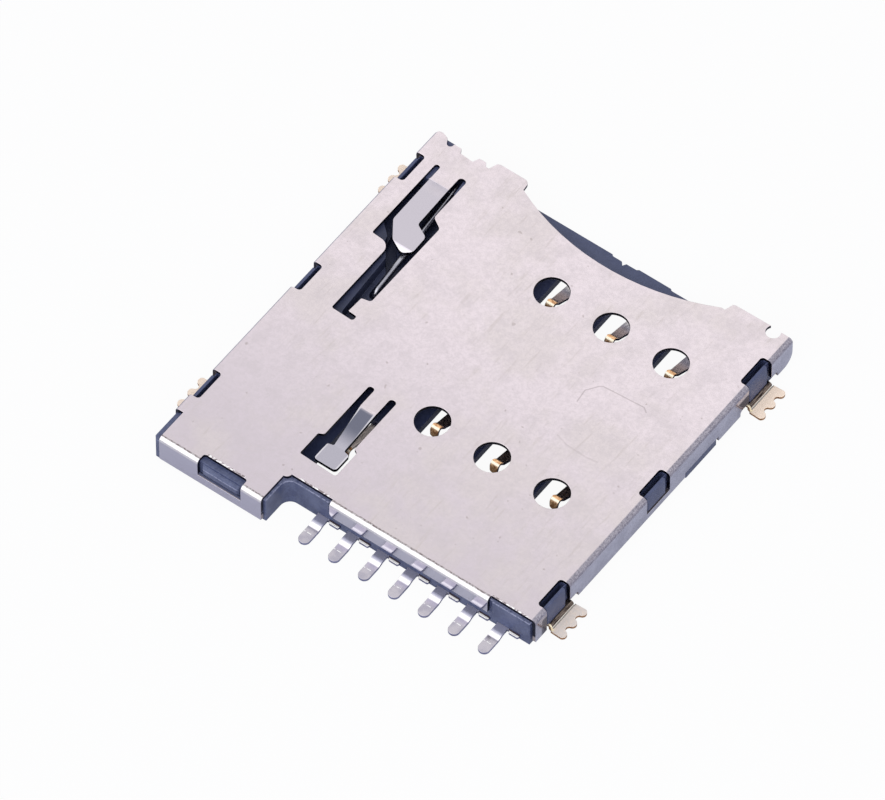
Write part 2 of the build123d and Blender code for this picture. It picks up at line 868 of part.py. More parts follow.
with BuildPart() as housing:
    with BuildSketch():
        with BuildLine():
            Polyline(
                (block_side + corner_radius, bar_face),
                (housing_right, bar_face),
                (housing_right, housing_back),
                (housing_left, housing_back),
                (housing_left, corner_block_back),
                (corner_block_left, corner_block_back),
                (corner_block_left, corner_block_front),
                (corner_block_right, corner_block_front),
                (corner_block_right, housing_front),
                (block_side, housing_front),
                (block_side, bar_face - corner_radius),
            )
            ThreePointArc(
                (block_side, bar_face - corner_radius),
                (block_side + arc_middle, bar_face - arc_middle),
                (block_side + corner_radius, bar_face),
            )
        make_face()
    extrude(amount=top)
    add(region((housing_left, nub_right), (housing_back - 0.1, nub_end), (0, top)))
    # Lip of the floor in front of the card slot, with the steps of its mould inserts
    with BuildSketch():
        with BuildLine():
            Polyline(
                (slot_left - 0.5, housing_back - 0.5),
                (slot_left - 0.5, lip_end),
                (left + 7.68, lip_end),
                (left + 7.73, lip_step),
                (left + 8.12, lip_step),
                (left + 8.23, lip_step - 0.14),
                (left + 8.31, lip_step),
                (left + 8.74, lip_step),
                (left + 8.82, lip_end),
                (left + 10.18, lip_end),
                (left + 10.24, lip_step),
                (housing_right, lip_step),
                (housing_right, housing_back - 0.5),
                close=True,
            )
        make_face()
    extrude(amount=floor_thickness)
    for side in (-1, 1):
        foot_x = (side * (housing_right - 0.2), side * (right - boss_proud))
        add(region(sorted(foot_x), (foot_start + 0.08, foot_end - 0.08), (0, foot_top)))
    for boss in side_bosses + [front_boss.part]:
        add(boss)
    for pocket in pockets:
        add(pocket, mode=Mode.SUBTRACT)
    # Card slot with its mouth, room for the slider arm and the mechanism bay
    add(region((slot_left, slot_right), (card_stop, mouth + 1), (floor_thickness, top + 1)), mode=Mode.SUBTRACT)
    arm_end = arm_right + 0.10
    add(region((slot_left, arm_end), (arm_wall, card_stop + 0.5), (floor_thickness, top + 1)), mode=Mode.SUBTRACT)
    add(region((bay_left, slot_left), (arm_wall, block_face), (bay_floor, top + 1)), mode=Mode.SUBTRACT)
    add(region((bay_left, nose_left + 0.08), (seat_y, arm_wall + 0.5), (bay_floor, top + 1)), mode=Mode.SUBTRACT)
    with BuildSketch(Plane.XZ.offset(-seat_y)):
        with Locations((spring_x, spring_middle)):
            Circle(peg_radius)
    extrude(amount=-peg_length)
    # Recess behind the flange of the shell
    recess_x = (flange_left - 0.10, flange_right + 0.10)
    add(region(recess_x, (front, flange_recess), (flange_bottom - 0.05, top + 1)), mode=Mode.SUBTRACT)
    # Trench and pivot hole for the follower pin
    with BuildSketch(Plane.XY.offset(wire_middle - wire_radius - pin_clearance)):
        with BuildLine():
            Line((pivot_x, pivot_y), (pivot_x + 0.09, block_face - 0.2))
        trace(line_width=0.45)
        with Locations((pivot_x, pivot_y)):
            Circle(0.225)
    extrude(amount=top, mode=Mode.SUBTRACT)
    with BuildSketch(Plane.XY.offset(pin_foot - 0.05)):
        with Locations((pivot_x, pivot_y)):
            Circle(wire_radius + pin_clearance)
    extrude(amount=top, mode=Mode.SUBTRACT)
    # Windows in the floor below the contact arms
    for index, column in enumerate(columns):
        window_left = column - (0.60 if index == 0 else 0.88)
        for tip_y in (front_tip, rear_tip):
            window_y = (tip_y - 0.70, tip_y + arm_reach)
            add(region((window_left, column + 0.62), window_y, (-1, floor_thickness + 0.1)), mode=Mode.SUBTRACT)
    detect_window = ((detect_x - 0.77, detect_x + 0.58), (detect_tip - 1.0, detect_tip + detect_reach))
    add(region(*detect_window, (-1, floor_thickness + 0.1)), mode=Mode.SUBTRACT)
    for inserted in contacts + [detect_contact] + solder_tabs:
        add(inserted, mode=Mode.SUBTRACT)
housing.part.label = "housing"

pieces = [shell.part, housing.part, cam_slider.part, follower_pin.part, eject_spring.part]
for piece in pieces + contacts + [detect_contact] + solder_tabs:
    export_step(piece, f"parts/{piece.label}.step")
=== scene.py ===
import bpy
import bmesh
import math
from mathutils import Vector, Matrix


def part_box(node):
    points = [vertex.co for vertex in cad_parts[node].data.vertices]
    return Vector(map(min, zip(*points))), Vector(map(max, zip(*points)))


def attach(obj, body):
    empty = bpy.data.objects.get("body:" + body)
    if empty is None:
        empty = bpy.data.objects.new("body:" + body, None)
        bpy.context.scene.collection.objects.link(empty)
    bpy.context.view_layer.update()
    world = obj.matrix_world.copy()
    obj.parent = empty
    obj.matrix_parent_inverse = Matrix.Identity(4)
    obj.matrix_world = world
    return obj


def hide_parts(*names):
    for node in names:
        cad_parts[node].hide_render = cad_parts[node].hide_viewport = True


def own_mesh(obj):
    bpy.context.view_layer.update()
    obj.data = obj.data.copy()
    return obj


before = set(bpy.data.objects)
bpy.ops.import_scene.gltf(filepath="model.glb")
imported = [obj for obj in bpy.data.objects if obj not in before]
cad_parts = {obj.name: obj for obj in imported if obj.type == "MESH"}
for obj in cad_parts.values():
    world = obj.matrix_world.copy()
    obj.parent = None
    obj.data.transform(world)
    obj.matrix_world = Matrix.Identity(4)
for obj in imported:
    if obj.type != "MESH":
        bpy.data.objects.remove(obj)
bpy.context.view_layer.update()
mm = 0.001
print("frame loaded")

# places on the socket in millimetres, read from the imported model
shellLow, shellHigh = [[c / mm for c in corner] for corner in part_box("shell")]
left, front = shellLow[0], shellLow[1]
right, mouth = shellHigh[0], shellHigh[1]
roof = shellHigh[2]

cameraView = {
    "azimuth": 36.648,
    "elevation": 53.781,
    "roll": 0.075,
    "distance": 457.14,  # mm from the target
    "target": (-0.483, -1.112, 1.35),
    "lens": 543.56,
    "sensor": 36.0,
    "clip": (0.01, 20.0),  # metres
}


def directionFrom(azimuth, elevation):
    a = math.radians(azimuth)
    e = math.radians(elevation)
    return Vector((math.sin(a) * math.cos(e), -math.cos(a) * math.cos(e), math.sin(e)))


def addCamera(view):
    data = bpy.data.cameras.new("photoCamera")
    data.lens = view["lens"]
    data.sensor_width = view["sensor"]
    data.clip_start, data.clip_end = view["clip"]
    camera = bpy.data.objects.new("photoCamera", data)
    bpy.context.scene.collection.objects.link(camera)
    a = math.radians(view["azimuth"])
    roll = math.radians(view["roll"])
    back = directionFrom(view["azimuth"], view["elevation"])
    level = Vector((math.cos(a), math.sin(a), 0))
    up = back.cross(level)
    rolledLevel = level * math.cos(roll) + up * math.sin(roll)
    rolledUp = up * math.cos(roll) - level * math.sin(roll)
    turn = Matrix((rolledLevel, rolledUp, back)).transposed()
    place = Vector(view["target"]) * mm + back * view["distance"] * mm
    camera.matrix_world = Matrix.Translation(place) @ turn.to_4x4()
    bpy.context.scene.camera = camera


addCamera(cameraView)
bpy.context.scene.view_settings.view_transform = "Standard"
print("camera placed")

lampPlan = {
    # sizes and distance in metres, angles in degrees as for the camera
    "keyFront": {
        "azimuth": 20.0, "elevation": 46.0, "distance": 0.32, "size": 0.34, "radiance": 1.5,
    },
}
wattsPerArea = 4  # of a lamp with a radiance of 1


def addLamp(name, plan):
    data = bpy.data.lights.new(name, "AREA")
    data.shape = "SQUARE"
    data.size = plan["size"]
    data.energy = wattsPerArea * plan["size"] ** 2 * plan["radiance"]
    lamp = bpy.data.objects.new(name, data)
    bpy.context.scene.collection.objects.link(lamp)
    towards = directionFrom(plan["azimuth"], plan["elevation"])
    lamp.location = towards * plan["distance"]
    lamp.rotation_euler = towards.to_track_quat("Z", "Y").to_euler()
    lamp.visible_glossy = False  # the metal shows the light tent instead


for lampName, plan in lampPlan.items():
    addLamp(lampName, plan)
print("lamps placed")


class Signal:
    # wraps a node output, so that values of a material add up like numbers
    def __init__(self, finish, socket):
        self.finish = finish
        self.socket = socket

    def maths(self, operation, *values):
        kind = {"operation": operation}
        return self.finish.node("ShaderNodeMath", kind, dict(enumerate(values)))

    def __add__(self, other):
        return self.maths("ADD", self, other)

    __radd__ = __add__

    def __sub__(self, other):
        return self.maths("SUBTRACT", self, other)

    def __rsub__(self, other):
        return self.maths("SUBTRACT", other, self)

    def __mul__(self, other):
        return self.maths("MULTIPLY", self, other)

    __rmul__ = __mul__

    def __gt__(self, other):
        return self.maths("GREATER_THAN", self, other)

    def __lt__(self, other):
        return self.maths("LESS_THAN", self, other)

    def between(self, low, high):
        return (self > low) * (self < high)

    def size(self):
        return self.maths("ABSOLUTE", self)

    def root(self):
        return self.maths("SQRT", self)

    def nearest(self, other):
        return self.maths("MINIMUM", self, other)

    def repeat(self, start, pitch):
        # distance to the nearest of many evenly spaced places
        return self.maths("PINGPONG", self - start, pitch / 2)

    def ramp(self, low, high):
        # 0 below low, 1 above high, smooth between
        kind = {"interpolation_type": "SMOOTHSTEP"}
        inputs = {"Value": self, 1: low, 2: high, 3: 0.0, 4: 1.0}
        return self.finish.node("ShaderNodeMapRange", kind, inputs)

    def fall(self, low, high):
        # 1 below low, 0 above high
        return 1 - self.ramp(low, high)

    def band(self, low, high, soft):
        # 1 between low and high, 0 outside, with soft borders
        return self.ramp(low - soft, low + soft) * self.fall(high - soft, high + soft)


class Finish:
    # a material or sky under construction; every node comes from node()
    def __init__(self, owner):
        owner.use_nodes = True
        self.owner = owner
        self.tree = owner.node_tree
        self.tree.nodes.clear()

    def node(self, kind, settings=None, inputs=None, output=0):
        made = self.tree.nodes.new(kind)
        for key, value in (settings or {}).items():
            setattr(made, key, value)
        for key, value in (inputs or {}).items():
            if isinstance(value, Signal):
                self.tree.links.new(value.socket, made.inputs[key])
            else:
                made.inputs[key].default_value = value
        return Signal(self, made.outputs[output]) if len(made.outputs) else None

    def place(self):
        # the point on the object in millimetres
        coords = self.node("ShaderNodeTexCoord", output="Object")
        inputs = {0: coords, "Scale": 1 / mm}
        return self.node("ShaderNodeVectorMath", {"operation": "SCALE"}, inputs)

    def axis(self, name):
        return self.node("ShaderNodeSeparateXYZ", {}, {0: self.place()}, name)

    def axes(self):
        return self.axis("X"), self.axis("Y"), self.axis("Z")

    def noise(self, scale, detail, rough, stretch=None):
        coords = self.place()
        if stretch:
            inputs = {0: coords, 1: stretch}
            coords = self.node("ShaderNodeVectorMath", {"operation": "MULTIPLY"}, inputs)
        inputs = {"Vector": coords, "Scale": scale, "Detail": detail, "Roughness": rough}
        return self.node("ShaderNodeTexNoise", {}, inputs, "Fac")

    def awayFrom(self, points):
        # distance in plan from a drawn line, in millimetres
        x, y = self.axis("X"), self.axis("Y")
        away = None
        for (ax, ay), (bx, by) in zip(points, points[1:]):
            dx, dy = bx - ax, by - ay
            along = ((x - ax) * dx + (y - ay) * dy) * (1 / (dx * dx + dy * dy))
            along = self.node("ShaderNodeClamp", {}, {"Value": along})
            offX, offY = x - ax - along * dx, y - ay - along * dy
            reach = (offX * offX + offY * offY).root()
            away = away.nearest(reach) if away else reach
        return away

    def mix(self, factor, first, second):
        kind = {"data_type": "RGBA"}
        return self.node("ShaderNodeMix", kind, {0: factor, 6: first, 7: second}, 2)

    def surface(self, shaderInputs, height, strength, depth):
        # height is 0 to 1 and depth is in millimetres
        values = {"Height": height, "Strength": strength, "Distance": depth * mm}
        shaderInputs["Normal"] = self.node("ShaderNodeBump", {}, values)
        shader = self.node("ShaderNodeBsdfPrincipled", {}, shaderInputs)
        self.node("ShaderNodeOutputMaterial", {}, {"Surface": shader})
        return self.owner


def screen(red, green, blue):
    # a colour as it looks on screen, 0 to 255, turned into scene light
    parts = [value / 255 for value in (red, green, blue)]
    parts = [p / 12.92 if p <= 0.04045 else ((p + 0.055) / 1.055) ** 2.4 for p in parts]
    return (*parts, 1.0)


white = (1.0, 1.0, 1.0, 1.0)

# Patterns are given by scale, detail, roughness and, for streaks, the stretch along each axis.
# A pair of places is where a mask starts and where it is full. All places are in millimetres.
shellLook = {
    "roughness": 0.15,
    "bump": (0.30, 0.0014),  # strength and depth
    # rolled sheet
    "nearTails": screen(212, 202, 211),
    "nearMouth": screen(240, 228, 234),
    "paling": (front - 1.0, 4.4),
    "warm": screen(222, 213, 211),
    "warmth": 0.5,
    "clouds": (0.40, 4.0, 0.6),
    "smudge": screen(206, 197, 202),
    "smudging": 0.30,
    "smudges": (1.3, 4.0, 0.65),
    "mottling": 0.38,
    "mottle": (7.0, 4.0, 0.75),
    "streak": screen(202, 192, 190),
    "streaking": 0.35,
    "streaks": (7.0, 3.0, 0.6, (1.0, 0.09, 1.0)),
    "speck": screen(168, 156, 154),
    "specking": 0.45,
    "specks": (3.6, 1.0, 0.4),
    # tongues cut out of the plate
    # painted shade: the sheet where it dips below the plate
    "tongue": screen(205, 199, 209),
    "dips": (roof - 0.035, roof - 0.004),
    "pinTongue": {
        "sides": (left + 1.08, left + 1.94),
        "root": (mouth - 1.985, mouth - 1.930),
        "shadeRises": (mouth - 2.50, mouth - 2.00),
        "shading": 0.55,
        "lip": (mouth - 5.02, mouth - 4.70),
        "lipSide": left + 2.6,
        "lipTop": roof - 0.2,
    },
    "switchTongue": {
        # painted shade on the arm and pad, and a painted highlight along the rim
        "arm": screen(112, 114, 130),
        "pad": screen(184, 181, 193),
        "rim": screen(236, 233, 240),
        "rimShine": 0.7,
        "sides": (left + 4.85, left + 5.95),
        "tip": front + 2.65,
        "root": (front + 5.08, front + 5.26),
        "below": roof - 0.012,
        "padEnd": (front + 3.50, front + 3.62),
        "armDarkens": (front + 3.55, front + 4.45),
        "armMiddle": left + 5.355,
        "armHighlight": (0.245, 0.280),
        "armRimFrom": front + 3.60,
        "padMiddle": left + 5.38,
        "padRim": (0.39, 0.43),
        "padRimTo": front + 3.50,
    },
    # walls, painted darker than the plate as painted shade
    "wallShadePale": screen(188, 188, 204),
    "wallShadeDark": screen(168, 168, 185),
    "wallTop": (roof - 0.19, roof - 0.13),
    "wallSkin": (0.01, 0.05),  # how near to the outline a face counts as a wall
    "frontWallShade": screen(191, 188, 203),
    "frontWallShare": 0.85,
    "flange": screen(200, 198, 210),
    "flangeFace": (front + 1.24, front + 1.30),
    "flangeEnds": (left + 6.6, right - 1.8),
    "shade": screen(52, 52, 70),
    "rearTabShade": {
        "start": (front + 13.72, front + 13.84), "slope": 0.62,
        "end": front + 13.95, "top": (0.92, 1.02),
    },
    "frontTabShade": {
        "start": front + 1.86, "end": front + 2.25, "soft": 0.06,
        "top": (0.96, 1.10), "share": 0.8,
    },
    # folds
    # painted highlight on the bends that face the front
    "frontBendHighlight": screen(226, 225, 227),
    "scuffs": (11.0, 3.0, 0.75),
    "frontBend": front + 0.19,
    "flangeBend": front + 1.47,
    "flangeFrom": left + 6.5,
    "bendLow": roof - 0.17,
    "foldPale": screen(184, 180, 192),
    "foldDark": screen(126, 122, 136),
    "fineScuffs": (21.0, 3.0, 0.75),
    "rightFold": ((right - 0.20, right - 0.15), (roof - 0.20, roof - 0.14)),
    "leftFoldShade": screen(92, 92, 122),
    "leftFold": ((left + 0.045, left + 0.065), (roof - 0.14, roof - 0.10)),
    # painted shade lines where the front folds start, and burrs along the plate's edges: y, y,
    # then the x that they lie between
    "crease": screen(118, 106, 106),
    "creases": (
        (front + 0.145, front + 0.20, left, left + 4.75),
        (front + 1.43, front + 1.49, left + 6.5, right),
    ),
    "burrs": (
        (front + 0.42, front + 0.49, left + 2.1, left + 3.7),
        (front + 1.49, front + 1.56, left + 5.2, left + 6.5),
        (front + 1.49, front + 1.56, right - 1.85, right - 0.3),
    ),
    "flecks": (10.0, 2.0, 0.6),
    # witness line left by the press tool
    "mark": ((3.24, 1.60), (3.18, 2.14), (3.47, 2.56), (3.58, 2.64), (5.23, 2.76), (5.41, 2.63)),
    "markEdge": (0.012, 0.036),
    "faintMark": ((3.56, 0.05), (4.03, -0.10), (4.88, -0.13), (5.31, -0.06)),
    "faintEdge": (0.015, 0.05),
    "faintness": 0.35,
    "marking": 0.32,
}


def paintSheet(f, look, y, cloud, smudge, mottle):
    # pale, a little warmer in clouds, with faint smudges, streaks and specks
    streak = f.noise(*look["streaks"]).ramp(0.57, 0.70) * cloud.ramp(0.40, 0.60)
    speck = f.noise(*look["specks"]).ramp(0.75, 0.79)
    sheet = f.mix(y.ramp(*look["paling"]), look["nearTails"], look["nearMouth"])
    sheet = f.mix(cloud.ramp(0.44, 0.66) * look["warmth"], sheet, look["warm"])
    sheet = f.mix(smudge.ramp(0.46, 0.68) * look["smudging"], sheet, look["smudge"])
    sheet = f.mix(mottle.ramp(0.35, 0.65) * look["mottling"], sheet, look["smudge"])
    sheet = f.mix(streak * look["streaking"], sheet, look["streak"])
    return f.mix(speck * look["specking"], sheet, look["speck"])


def paintTongues(f, look, at, sheet):
    x, y, z = at
    # painted shade: what dips below the plate, away from the walls and folds, is painted darker
    inside = x.between(left + 0.40, right - 0.40) * (y > front + 1.9)
    sheet = f.mix(inside * z.fall(*look["dips"]), sheet, look["tongue"])
    # painted shade and highlight: the switch tongue is painted dark where it dips and darker on
    # its pad, with a painted bright rim
    plan = look["switchTongue"]
    onSwitch = x.between(*plan["sides"]) * (y > plan["tip"]) * y.fall(*plan["root"])
    switchShadeAndHighlight = f.mix(y.ramp(*plan["armDarkens"]), plan["pad"], plan["arm"])
    switchShadeAndHighlight = f.mix(y.ramp(*plan["padEnd"]), plan["pad"], switchShadeAndHighlight)
    armHighlight = (x - plan["armMiddle"]).size().ramp(*plan["armHighlight"]) * (y > plan["armRimFrom"])
    padRim = (x - plan["padMiddle"]).size().ramp(*plan["padRim"]) * (y < plan["padRimTo"])
    switchShadeAndHighlight = f.mix((armHighlight + padRim) * plan["rimShine"], switchShadeAndHighlight, plan["rim"])
    sheet = f.mix(onSwitch * (z < plan["below"]), sheet, switchShadeAndHighlight)
    # soft shade where the pin's tongue leaves the plate
    plan = look["pinTongue"]
    bent = y.ramp(*plan["shadeRises"]) * y.fall(*plan["root"]) * x.between(*plan["sides"])
    return f.mix(bent * plan["shading"], sheet, look["wallShadeDark"])


def paintWalls(f, look, at, sheet, smudge, mottle):
    x, y, z = at
    near, far = look["wallSkin"]
    wallHeight = z.fall(*look["wallTop"])
    onRight = x.ramp(right - far, right - near)
    onLeft = x.fall(left + near, left + far) * (y > front + 0.4)
    onFront = y.fall(front + near, front + far) * (x < right - 1.0)
    # painted shade: the walls are painted darker and bluer than the plate, in patches
    patch = (smudge * 0.6 + mottle * 0.4).ramp(0.38, 0.62)
    paintedWallShade = f.mix(patch, look["wallShadeDark"], look["wallShadePale"])
    sheet = f.mix((onRight + onLeft + onFront) * wallHeight, sheet, paintedWallShade)
    # painted shade: the front face gets its own shade colour
    frontFace = (y < front + 0.03) * wallHeight * (x < right - 1.0)
    sheet = f.mix(frontFace * look["frontWallShare"], sheet, look["frontWallShade"])
    # shade around the roots of the board tabs
    plan = look["rearTabShade"]
    byRear = (y + z * plan["slope"]).ramp(*plan["start"]) * (y < plan["end"])
    byRear = byRear * z.fall(*plan["top"])
    plan = look["frontTabShade"]
    byFront = y.band(plan["start"], plan["end"], plan["soft"]) * z.fall(*plan["top"])
    byTab = (byRear + byFront * plan["share"]) * onRight * (0.85 + 0.15 * mottle)
    sheet = f.mix(byTab, sheet, look["shade"])
    # painted shade: the flange face is painted darker
    onFlange = y.between(*look["flangeFace"]) * x.between(*look["flangeEnds"]) * wallHeight
    return f.mix(onFlange, sheet, look["flange"]), byTab, onFlange


def paintFolds(f, look, at, sheet, scuff, fine):
    x, y, z = at
    # painted highlight: bends that face the front, and the pin tongue's lip, are painted bright
    bend = (y < look["frontBend"]) + (y < look["flangeBend"]) * (x > look["flangeFrom"])
    bend = bend * (z > look["bendLow"]) * (x < right - 0.25)
    plan = look["pinTongue"]
    lip = y.between(*plan["lip"]) * (x < plan["lipSide"]) * (z < plan["lipTop"])
    bright = f.mix(scuff * 0.6, look["frontBendHighlight"], look["nearTails"])
    sheet = f.mix((bend + lip) * (x > left + 0.06), sheet, bright)
    # the fold on the right is scuffed, the one on the left is painted as a dark line of shade
    acrossX, upZ = look["rightFold"]
    onFold = x.ramp(*acrossX) * z.ramp(*upZ)
    scuffed = f.mix(fine * 0.65 + scuff * 0.35, look["foldDark"], look["foldPale"])
    sheet = f.mix(onFold, sheet, scuffed)
    acrossX, upZ = look["leftFold"]
    sheet = f.mix(x.fall(*acrossX) * z.ramp(*upZ), sheet, look["leftFoldShade"])
    return sheet, onFold


def paintEdges(f, look, at, sheet, mottle, scuff):
    x, y, z = at
    # painted shade: ragged dark lines where the front folds start
    ragged = y + (mottle - 0.5) * 0.10
    crease = 0.0
    for lowY, highY, lowX, highX in look["creases"]:
        crease = ragged.band(lowY, highY, 0.012) * x.between(lowX, highX) + crease
    crease = crease * z.ramp(roof - 0.03, roof - 0.01)
    sheet = f.mix(crease * (0.35 + 0.65 * scuff), sheet, look["crease"])
    # dark flecks of burr and painted white glints along three punched edges
    fleck = f.noise(*look["flecks"])
    for lowY, highY, lowX, highX in look["burrs"]:
        burr = y.band(lowY, highY, 0.012) * x.between(lowX, highX)
        burr = burr * z.ramp(roof - 0.04, roof - 0.02)
        sheet = f.mix(burr * fleck.ramp(0.50, 0.56) * 0.8, sheet, look["crease"])
        sheet = f.mix(burr * fleck.fall(0.42, 0.47), sheet, white)
    return sheet


def makeShellSteel(look):
    f = Finish(bpy.data.materials.new("shellSteel"))
    at = x, y, z = f.axes()
    cloud = f.noise(*look["clouds"])
    smudge = f.noise(*look["smudges"])
    mottle = f.noise(*look["mottle"])
    scuff = f.noise(*look["scuffs"]).ramp(0.42, 0.60)
    fine = f.noise(*look["fineScuffs"]).ramp(0.38, 0.62)
    sheet = paintSheet(f, look, y, cloud, smudge, mottle)
    sheet = paintTongues(f, look, at, sheet)
    sheet, byTab, onFlange = paintWalls(f, look, at, sheet, smudge, mottle)
    sheet, onFold = paintFolds(f, look, at, sheet, scuff, fine)
    sheet = paintEdges(f, look, at, sheet, mottle, scuff)
    line = f.awayFrom(look["mark"]).fall(*look["markEdge"])
    line = line + look["faintness"] * f.awayFrom(look["faintMark"]).fall(*look["faintEdge"])
    sheet = f.mix(line * z.ramp(roof - 0.02, roof - 0.01) * look["marking"], sheet, look["crease"])
    roughness = look["roughness"] + 0.08 * smudge + 0.12 * onFold - 0.10 * onFlange + 0.25 * byTab
    height = smudge * 0.4 + mottle * 0.6 + fine * onFold * 1.2 - line * 2.0
    inputs = {"Base Color": sheet, "Metallic": 1.0, "Roughness": roughness}
    return f.surface(inputs, height * (1 - onFlange), *look["bump"])


cutLooks = {
    # sheared edges of the stamped sheets
    "shellCut": {
        # painted shade: the shell's sheared edges are painted near black
        "pale": screen(44, 46, 64), "dark": screen(24, 26, 40),
        "sill": {
            # the lower edge of the front window and the feet of the walls are matt
            "heights": (0.56, 0.60), "depth": front + 0.16,
            "lip": screen(160, 150, 152), "ledge": screen(92, 98, 126),
            "lipEnd": (front + 0.035, front + 0.055),
            "foot": (0.42, 0.48), "footMatt": 0.6,
        },
    },
    "contactCut": {"pale": screen(158, 160, 192), "dark": screen(104, 104, 134)},
    "tabCut": {"pale": screen(206, 164, 122), "dark": screen(128, 92, 66)},
}


def makeCutMetal(name, look):
    f = Finish(bpy.data.materials.new(name))
    tear = f.noise(9.0, 2.0, 0.6, (1.0, 1.0, 5.0))
    colour = f.mix(tear.ramp(0.35, 0.65), look["dark"], look["pale"])
    metallic = 1.0
    if "sill" in look:
        sill = look["sill"]
        y, z = f.axis("Y"), f.axis("Z")
        onSill = (y < sill["depth"]) * z.band(*sill["heights"], 0.01)
        colour = f.mix(onSill, colour, f.mix(y.ramp(*sill["lipEnd"]), sill["lip"], sill["ledge"]))
        foot = z.fall(*sill["foot"])
        colour = f.mix(foot, colour, sill["lip"])
        metallic = 1 - (onSill + foot * sill["footMatt"])
    inputs = {"Base Color": colour, "Metallic": metallic, "Roughness": 0.30 + 0.2 * tear}
    return f.surface(inputs, tear, 0.4, 0.003)


housingLook = {
    "pale": screen(88, 96, 128),
    "dark": screen(58, 66, 100),
    "roughness": 0.30,
    "grain": 12.0,
    "shade": 0.55,  # how much darker the plastic is behind the front bar
    "edgeHighlight": screen(150, 154, 182),
    "edgeHighlightPlaces": (
        # centre height and half height of a painted edge highlight, then the x and y that it lies
        # between
        (0.985, 0.022, left, left + 4.6, front, front + 0.16),
        (1.175, 0.030, left + 4.6, right, front, front + 1.70),
    ),
}
sliderLook = {
    "pale": screen(46, 52, 80),
    "dark": screen(30, 36, 60),
    "roughness": 0.42,
    "grain": 20.0,
    "shade": 0.0,
    "edgeHighlightPlaces": (),
}


def makePlastic(name, look):
    f = Finish(bpy.data.materials.new(name))
    x, y, z = f.axes()
    cloud = f.noise(1.6, 3.0, 0.6)
    fine = f.noise(look["grain"], 3.0, 0.65)
    colour = f.mix((cloud * 0.55 + fine * 0.45).ramp(0.35, 0.68), look["dark"], look["pale"])
    if look["shade"]:
        behind = y.ramp(front + 1.6, front + 1.8)
        colour = f.mix(behind * look["shade"], colour, look["dark"])
    # painted highlight: pale lines along moulded edges, where they catch the light
    for height, half, lowX, highX, lowY, highY in look["edgeHighlightPlaces"]:
        line = (z - height).size().fall(half * 0.6, half)
        line = line * x.between(lowX, highX) * y.between(lowY, highY)
        colour = f.mix(line * fine.ramp(0.30, 0.55) * 0.75, colour, look["edgeHighlight"])
    roughness = look["roughness"] + 0.16 * fine
    inputs = {"Base Color": colour, "Roughness": roughness, "IOR": 1.55}
    return f.surface(inputs, fine, 0.5, 0.004)


contactLook = {
    "roughness": 0.13,
    "bump": (0.2, 0.0006),
    "grain": (9.0, 3.0, 0.6),
    "streaks": (10.0, 2.0, 0.6, (1.0, 0.12, 1.0)),
    # tinned tails, with the cut stubs of the carrier strip between them
    "tin": screen(200, 195, 204),
    "tinDull": screen(182, 178, 191),
    "clouds": (2.4, 2.0, 0.5),
    "tailEnd": front + 1.42,
    # painted highlight on the bend of each tail
    "tinBendHighlight": screen(246, 243, 244),
    "bendRise": (0.120, 0.148),
    "bendEnd": front + 1.38,
    # painted shade at the tails' roots under the bar
    "tinRootShade": screen(158, 158, 178),
    "rootRise": (0.158, 0.214),
    "rootTop": 0.26,
    # painted highlight: the stubs are painted near white, their backs painted dark as shade
    "stub": screen(255, 252, 248),
    "stubBackShade": screen(70, 58, 64),
    "stubHalf": 0.26,
    "stubTurn": (front + 1.335, front + 1.355),
    "firstStub": left + 6.84,
    "tailPitch": 1.27,
    "sparkY": front + 0.585,  # painted highlight: a small bright line on each tail
    "sparkEdge": (0.008, 0.020),
    "sparkSides": (0.43, 0.60),  # from the nearest stub
    # sprung arms: the front row painted dark as shade, the rear row painted pale as reflected
    # light
    "armRise": (0.24, 0.30),
    "armFrontShade": screen(92, 90, 96),
    "armRearLight": screen(196, 192, 194),
    "armPales": (1.0, 3.0),
    "neck": screen(232, 212, 196),
    "neckRise": (0.74, 0.88),
    # painted light: the switch contact's strip is painted near white, bright though it lies in
    # shade
    "detect": screen(255, 240, 232),
    "detectSide": left + 5.9,
    # plated tips
    "gold": screen(255, 206, 156),
    "goldDeep": screen(196, 142, 98),
    "goldShine": screen(255, 244, 222),
    "shineEdge": (0.02, 0.07),
    "tipRows": (front + 3.80, front + 6.25, front + 12.85),
    "tipReach": (0.42, 0.15),
    "tipLow": 0.50,
    # how matt each place is
    "mattTip": 0.55,
    "mattRoot": 0.6,
}


